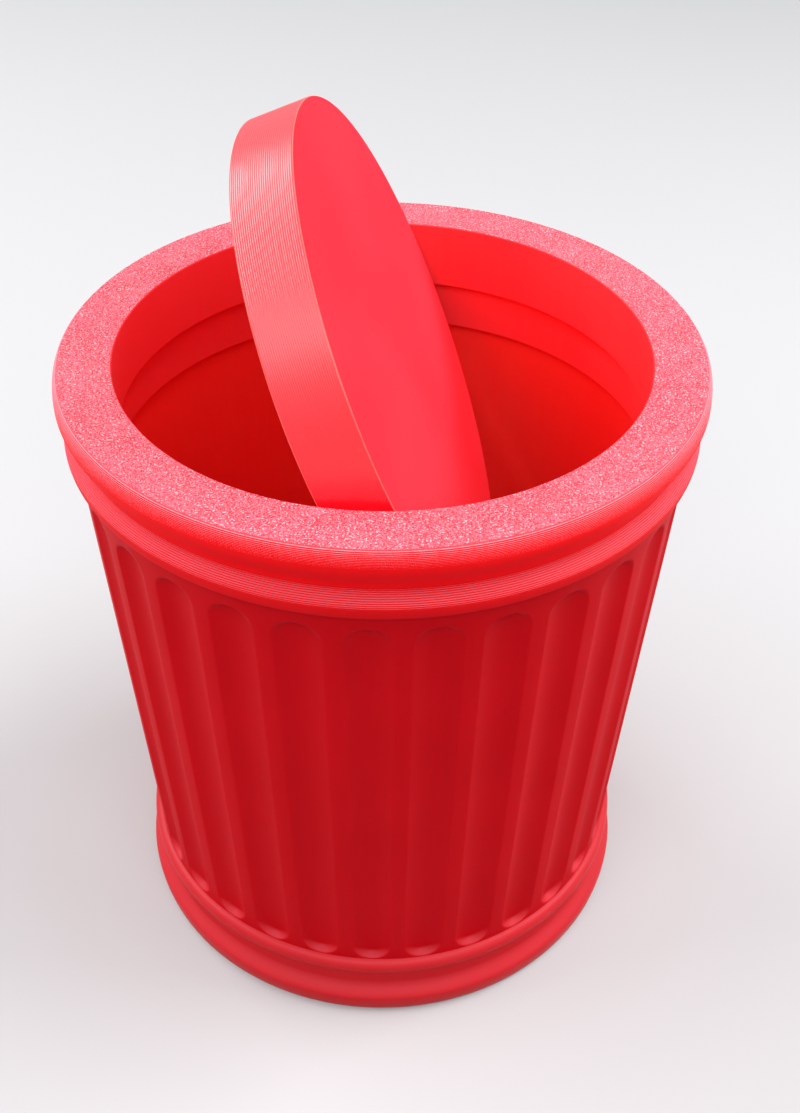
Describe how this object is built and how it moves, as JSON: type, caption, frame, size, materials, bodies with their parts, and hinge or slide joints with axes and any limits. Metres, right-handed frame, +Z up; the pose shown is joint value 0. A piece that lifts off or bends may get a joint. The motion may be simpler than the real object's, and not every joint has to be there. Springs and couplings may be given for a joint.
{
  "type": "mini trash can",
  "caption": "Small round tapered desk bin with a fluted barrel, a beaded lift-off top ring and a thick disc lid that swings about a cross axis inside the ring.",
  "frame": {"origin": "centre of the flat underside of the barrel", "axes": "+Z up along the barrel's axis, Y along the lid's pivot axis with the front of the picture at -Y, +X to the right"},
  "size_m": [0.12, 0.12, 0.1732],
  "materials": {
    "barrel": "satin red printed plastic with fine level layer lines",
    "top_ring": "satin red printed plastic, grained sparkling flat top, fine level layer lines on the beads",
    "lid": "smooth satin red printed plastic, layer lines round the rim",
    "pivot_pins": "satin red printed plastic"
  },
  "bodies": {
    "barrel": {"barrel": "barrel"},
    "top_ring": {"top_ring": "top_ring"},
    "lid": {"lid": "lid", "pivot_pin_front": "pivot_pins", "pivot_pin_rear": "pivot_pins"}
  },
  "joints": [
    {"name": "ring_lift", "type": "slide", "parent": "barrel", "child": "top_ring", "axis": [0, 0, 1], "range_m": [0, 0.03]},
    {"name": "lid_swing", "type": "hinge", "parent": "top_ring", "child": "lid", "pos_m": [0, 0, 0.1274], "axis": [0, 1, 0], "continuous": true}
  ]
}
